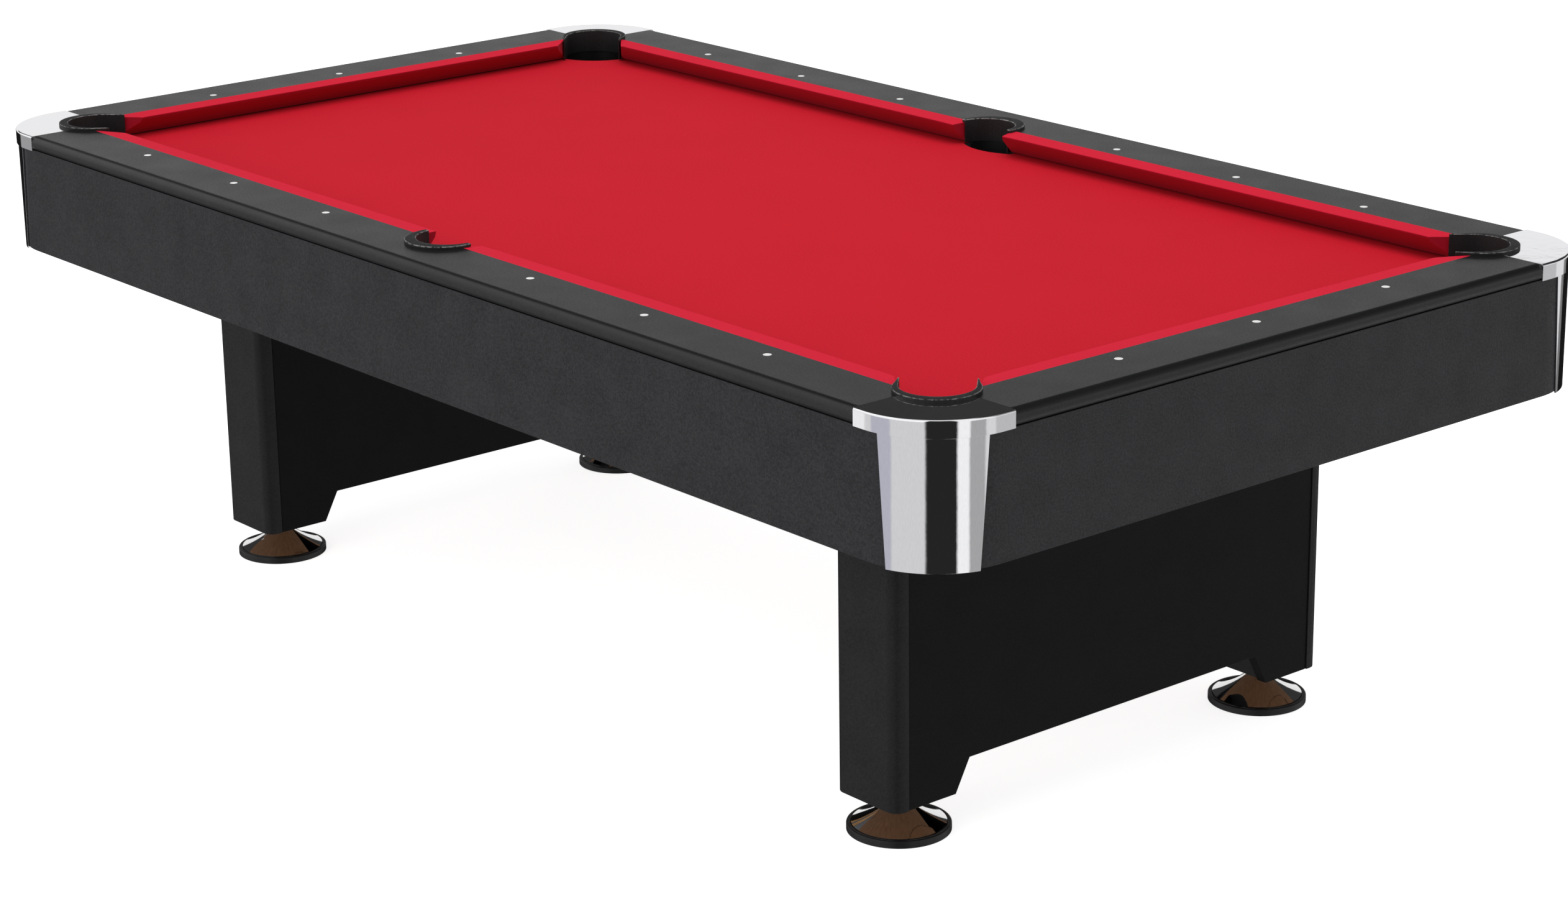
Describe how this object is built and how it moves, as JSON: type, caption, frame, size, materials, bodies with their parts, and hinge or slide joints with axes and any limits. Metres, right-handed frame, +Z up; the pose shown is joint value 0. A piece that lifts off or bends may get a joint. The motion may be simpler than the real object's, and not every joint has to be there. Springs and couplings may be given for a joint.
{
  "type": "pool table",
  "caption": "Six-pocket pool table with a cloth-covered slate bed, chrome corner castings, sighted rails, a ball return and two pedestal legs on screw levelling feet.",
  "frame": {"origin": "on the floor under the middle of the bed", "axes": "+Z up; X along the table, +X the head end and -X the foot end with the ball box; seen from the head end, -Y is the left side and +Y the right"},
  "size_m": [2.5248, 1.4072, 0.788],
  "materials": {
    "slate": null,
    "bed_cloth": "napped red woven billiard cloth, stretched",
    "cushion_cloth": "red billiard cloth glued over moulded cushion rubber",
    "sight_inlay": "white round inlays, polished flush",
    "zinc_steel": "zinc-plated steel",
    "rail_laminate": "wooden rail under charcoal laminate with a fine satin texture",
    "apron_laminate": "board under charcoal laminate with a fine satin texture",
    "corner_chrome": "polished chrome plate",
    "lip_leather": "black grained leather-look moulding, edges rubbed grey",
    "boot_plastic": "black moulded plastic",
    "frame_timber": "planed softwood",
    "post_laminate": "board under black satin laminate",
    "panel_laminate": "board under black satin laminate",
    "foot_chrome": "polished chrome plate",
    "foot_rubber": "black moulded rubber",
    "window_trim": "black moulded plastic",
    "ball_return_plastic": "black moulded plastic"
  },
  "bodies": {
    "table": {"apron_foot_end": "apron_laminate", "apron_head_end": "apron_laminate", "apron_left": "apron_laminate", "apron_right": "apron_laminate", "ball_box": "ball_return_plastic", "ball_trough_left": "ball_return_plastic", "ball_trough_right": "ball_return_plastic", "ball_troughs_end": "ball_return_plastic", "ball_window_trim": "window_trim", "bed_cloth": "bed_cloth", "corner_casting_foot_left": "corner_chrome", "corner_casting_foot_right": "corner_chrome", "corner_casting_head_left": "corner_chrome", "corner_casting_head_right": "corner_chrome", "cushion_foot_end": "cushion_cloth", "cushion_foot_left": "cushion_cloth", "cushion_foot_right": "cushion_cloth", "cushion_head_end": "cushion_cloth", "cushion_head_left": "cushion_cloth", "cushion_head_right": "cushion_cloth", "frame_beam_left": "frame_timber", "frame_beam_right": "frame_timber", "frame_cross_beams": "frame_timber", "leg_brackets": "zinc_steel", "leg_inserts": "zinc_steel", "leg_panel_foot_inner": "panel_laminate", "leg_panel_foot_outer": "panel_laminate", "leg_panel_head_inner": "panel_laminate", "leg_panel_head_outer": "panel_laminate", "leg_post_foot_left": "post_laminate", "leg_post_foot_right": "post_laminate", "leg_post_head_left": "post_laminate", "leg_post_head_right": "post_laminate", "pocket_boot_foot_left": "boot_plastic", "pocket_boot_foot_right": "boot_plastic", "pocket_boot_head_left": "boot_plastic", "pocket_boot_head_right": "boot_plastic", "pocket_boot_side_left": "boot_plastic", "pocket_boot_side_right": "boot_plastic", "pocket_lip_foot_left": "lip_leather", "pocket_lip_foot_right": "lip_leather", "pocket_lip_head_left": "lip_leather", "pocket_lip_head_right": "lip_leather", "pocket_lip_side_left": "lip_leather", "pocket_lip_side_right": "lip_leather", "rail_bolts": "zinc_steel", "rail_foot_end": "rail_laminate", "rail_head_end": "rail_laminate", "rail_left": "rail_laminate", "rail_right": "rail_laminate", "rail_sights": "sight_inlay", "slate_bed": "slate"},
    "foot_head_left_ring": {"foot_ring_head_left": "foot_rubber"},
    "foot_head_left_screw": {"foot_dome_head_left": "foot_chrome"},
    "foot_head_right_ring": {"foot_ring_head_right": "foot_rubber"},
    "foot_head_right_screw": {"foot_dome_head_right": "foot_chrome"},
    "foot_foot_left_ring": {"foot_ring_foot_left": "foot_rubber"},
    "foot_foot_left_screw": {"foot_dome_foot_left": "foot_chrome"},
    "foot_foot_right_ring": {"foot_ring_foot_right": "foot_rubber"},
    "foot_foot_right_screw": {"foot_dome_foot_right": "foot_chrome"}
  },
  "joints": [
    {"name": "foot_head_left_height", "type": "slide", "parent": "table", "child": "foot_head_left_ring", "axis": [0, 0, -1], "range_m": [0, 0.0251]},
    {"name": "foot_head_left_turn", "type": "hinge", "parent": "foot_head_left_ring", "child": "foot_head_left_screw", "pos_m": [0.85, -0.39202, 0.03], "axis": [0, 0, 1], "range_deg": [0, 4500]},
    {"name": "foot_head_right_height", "type": "slide", "parent": "table", "child": "foot_head_right_ring", "axis": [0, 0, -1], "range_m": [0, 0.0251]},
    {"name": "foot_head_right_turn", "type": "hinge", "parent": "foot_head_right_ring", "child": "foot_head_right_screw", "pos_m": [0.85, 0.39202, 0.03], "axis": [0, 0, 1], "range_deg": [0, 4500]},
    {"name": "foot_foot_left_height", "type": "slide", "parent": "table", "child": "foot_foot_left_ring", "axis": [0, 0, -1], "range_m": [0, 0.0251]},
    {"name": "foot_foot_left_turn", "type": "hinge", "parent": "foot_foot_left_ring", "child": "foot_foot_left_screw", "pos_m": [-0.85, -0.39202, 0.03], "axis": [0, 0, 1], "range_deg": [0, 4500]},
    {"name": "foot_foot_right_height", "type": "slide", "parent": "table", "child": "foot_foot_right_ring", "axis": [0, 0, -1], "range_m": [0, 0.0251]},
    {"name": "foot_foot_right_turn", "type": "hinge", "parent": "foot_foot_right_ring", "child": "foot_foot_right_screw", "pos_m": [-0.85, 0.39202, 0.03], "axis": [0, 0, 1], "range_deg": [0, 4500]}
  ],
  "couplings": [
    {"joint": "foot_head_left_height", "follows": "foot_head_left_turn", "m_per_rad": 0.00031831},
    {"joint": "foot_head_right_height", "follows": "foot_head_right_turn", "m_per_rad": 0.00031831},
    {"joint": "foot_foot_left_height", "follows": "foot_foot_left_turn", "m_per_rad": 0.00031831},
    {"joint": "foot_foot_right_height", "follows": "foot_foot_right_turn", "m_per_rad": 0.00031831}
  ]
}
